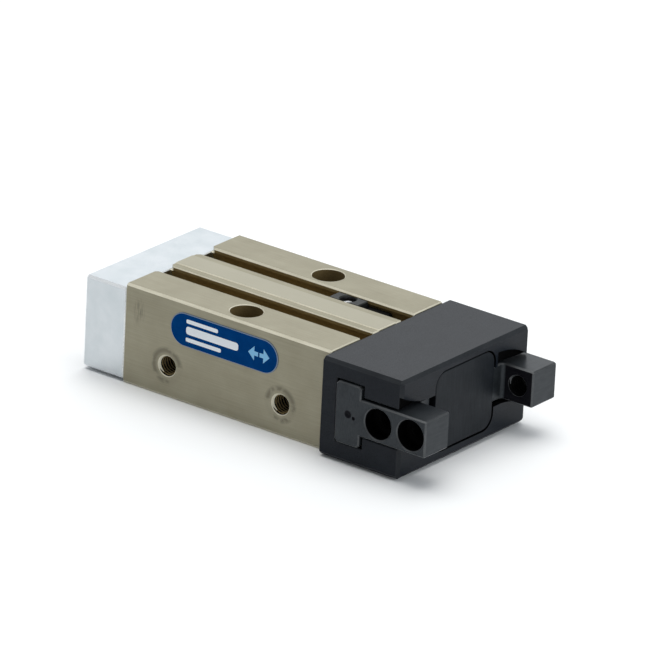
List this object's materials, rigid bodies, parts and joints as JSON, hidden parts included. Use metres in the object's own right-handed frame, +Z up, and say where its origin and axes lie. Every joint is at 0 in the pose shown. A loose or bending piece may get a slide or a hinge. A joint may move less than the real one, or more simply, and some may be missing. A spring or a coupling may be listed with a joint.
{
  "type": "pneumatic parallel gripper",
  "caption": "Compact parallel gripper: slotted anodised cylinder body, pale end cover and a dark head whose T-shaped jaws slide apart.",
  "frame": {"origin": "bottom centre of the bounding box with the jaws closed: on the cylinder body's underside, midway along the gripper and between the jaws", "axes": "+X out past the jaws' tips, +Y along the jaws' travel towards the side without ports, +Z up out of the slotted face"},
  "size_m": [0.0578, 0.0282, 0.014],
  "materials": {
    "bronze_anodised": "hard anodised, bronze grey, fine milled grain",
    "satin_aluminium": "satin, clear anodised",
    "black_anodised": "hard anodised, black, semi-matt",
    "plate_black": "anodised, dark grey, smooth",
    "nitrided_steel": "ground and nitrided, dark grey",
    "zinc_steel": "zinc plated",
    "black_steel": "black oxide",
    "polished_steel": "ground and polished",
    "nitrile": "matt",
    "sintered_bronze": "sintered, oiled",
    "magnet": "plain sintered magnet",
    "label_blue": "printed film, satin",
    "stop_grey": "plain machined steel",
    "stop_black": "moulded, matt"
  },
  "bodies": {
    "housing": {"cylinder_body": "bronze_anodised", "end_cover": "satin_aluminium", "cover_screw_1": "zinc_steel", "cover_screw_2": "zinc_steel", "cover_screw_3": "zinc_steel", "cover_screw_4": "zinc_steel", "cover_o_ring": "nitrile", "rear_bumper": "nitrile", "rod_bush": "sintered_bronze", "rod_seal": "nitrile", "seal_retainer": "black_steel", "label_plate": "label_blue", "switch_stop_clamp": "stop_grey", "switch_stop_screw": "black_steel", "switch_stop_body": "stop_black", "guide_head": "black_anodised", "front_plate": "plate_black", "head_screw_1": "zinc_steel", "head_screw_2": "zinc_steel", "head_dowel_1": "polished_steel", "head_dowel_2": "polished_steel", "closing_spring": "polished_steel"},
    "piston_group": {"piston": "satin_aluminium", "piston_seal_rear": "nitrile", "magnet_ring": "magnet", "piston_seal_front": "nitrile", "piston_rod": "polished_steel", "piston_bolt": "zinc_steel", "wedge_hook": "nitrided_steel", "hook_pin": "polished_steel"},
    "near_jaw": {"jaw_near": "nitrided_steel"},
    "far_jaw": {"jaw_far": "nitrided_steel"}
  },
  "joints": [
    {"name": "piston_slide", "type": "slide", "parent": "housing", "child": "piston_group", "axis": [1, 0, 0], "range_m": [0, 0.004], "stiffness_N_per_m": 100, "springref_m": -0.004, "deforming": ["closing_spring"]},
    {"name": "near_jaw_slide", "type": "slide", "parent": "housing", "child": "near_jaw", "axis": [0, -1, 0], "range_m": [0, 0.002]},
    {"name": "far_jaw_slide", "type": "slide", "parent": "housing", "child": "far_jaw", "axis": [0, 1, 0], "range_m": [0, 0.002]}
  ],
  "couplings": [
    {"joint": "near_jaw_slide", "follows": "piston_slide", "ratio": 0.5},
    {"joint": "far_jaw_slide", "follows": "piston_slide", "ratio": 0.5}
  ]
}
